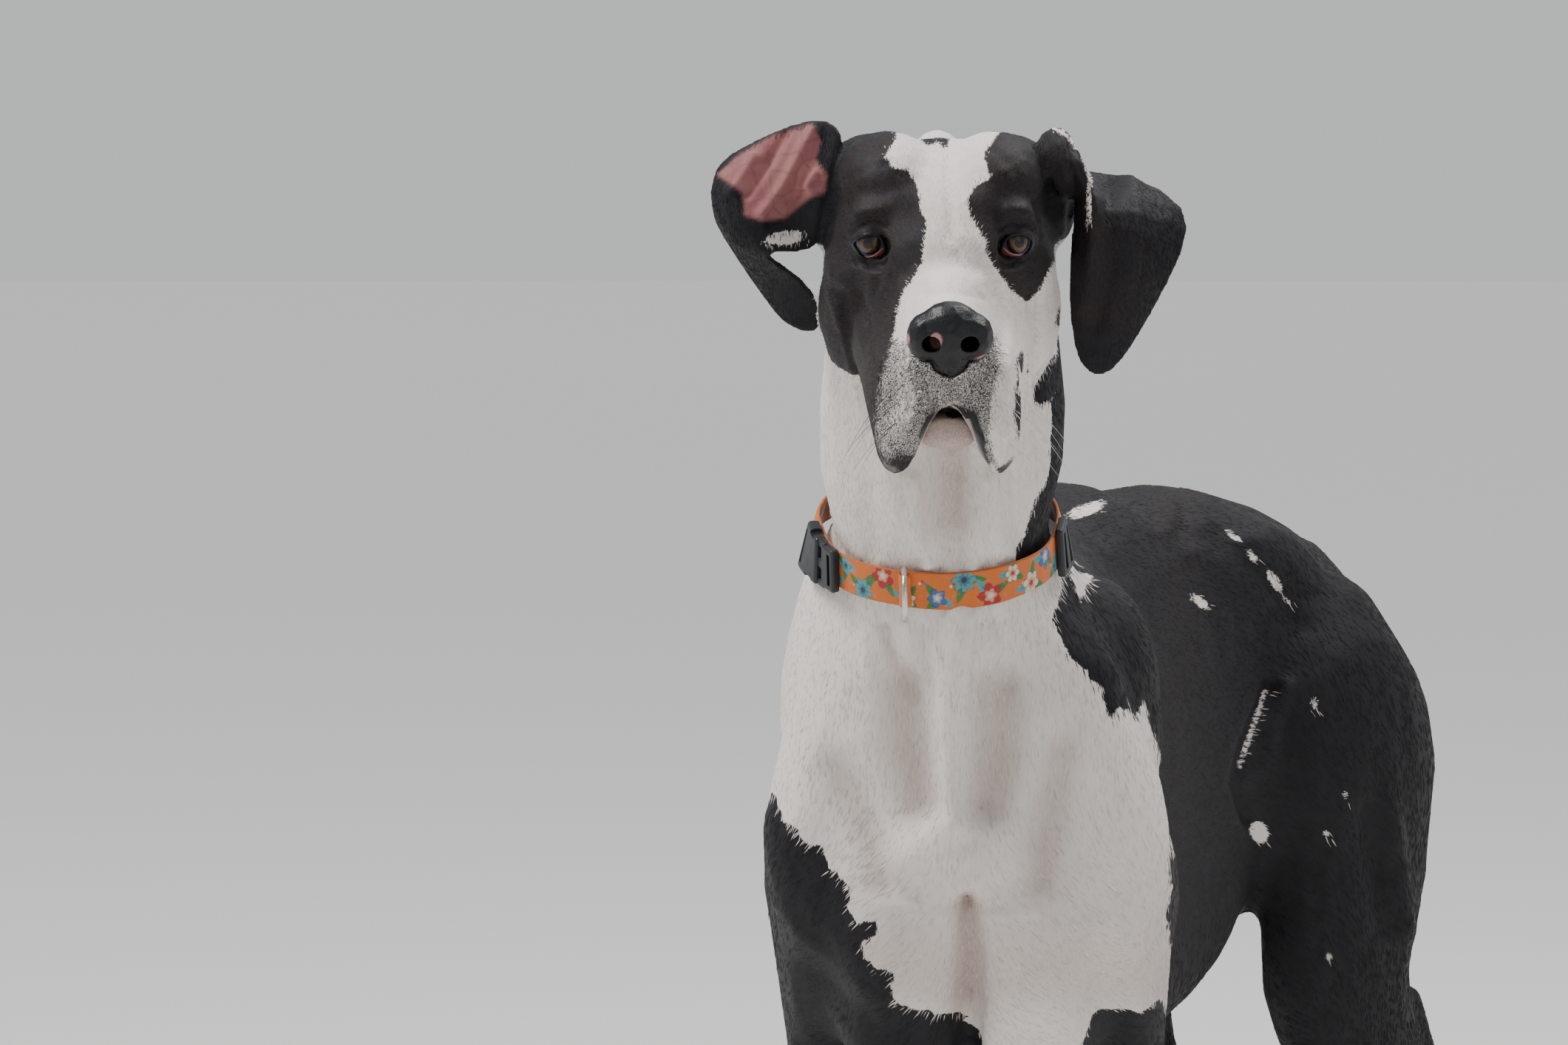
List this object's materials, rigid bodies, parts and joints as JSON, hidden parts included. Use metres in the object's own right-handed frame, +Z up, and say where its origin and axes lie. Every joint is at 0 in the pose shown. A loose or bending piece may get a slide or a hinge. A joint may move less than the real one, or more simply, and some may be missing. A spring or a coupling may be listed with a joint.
{
  "type": "great dane figure",
  "caption": "Life-size still figure of a standing harlequin-mantle great dane with its head turned to its left, wearing a floral webbing collar.",
  "frame": {"origin": "on the floor, under the middle of the box round the whole dog", "axes": "+Z up; +Y towards the dog's rear and -Y towards its head; +X to the dog's left"},
  "size_m": [0.4172, 1.1276, 1.141],
  "materials": {
    "black_coat": "short glossy black coat with white marks",
    "white_coat": "short satin white coat with black marks",
    "nose": "moist, pebbled blue-black skin",
    "eye": "wet amber",
    "claw": "dark horn",
    "strap": "orange floral webbing",
    "buckle": "satin black moulding",
    "ring": "polished"
  },
  "bodies": {
    "root": {"claw_foreleg_left_1": "claw", "claw_foreleg_left_2": "claw", "claw_foreleg_left_3": "claw", "claw_foreleg_left_4": "claw", "claw_foreleg_right_1": "claw", "claw_foreleg_right_2": "claw", "claw_foreleg_right_3": "claw", "claw_foreleg_right_4": "claw", "claw_hindleg_left_1": "claw", "claw_hindleg_left_2": "claw", "claw_hindleg_left_3": "claw", "claw_hindleg_left_4": "claw", "claw_hindleg_right_1": "claw", "claw_hindleg_right_2": "claw", "claw_hindleg_right_3": "claw", "claw_hindleg_right_4": "claw", "collar_buckle": "buckle", "collar_ring": "ring", "collar_slider": "buckle", "collar_strap": "strap", "ear_left": "black_coat", "ear_right": "black_coat", "eye_left": "eye", "eye_right": "eye", "foreleg_left": "black_coat", "foreleg_right": "black_coat", "head": "white_coat", "hindleg_left": "black_coat", "hindleg_right": "black_coat", "jaw": "white_coat", "neck": "white_coat", "nose": "nose", "tail": "black_coat", "torso": "black_coat"}
  },
  "joints": []
}
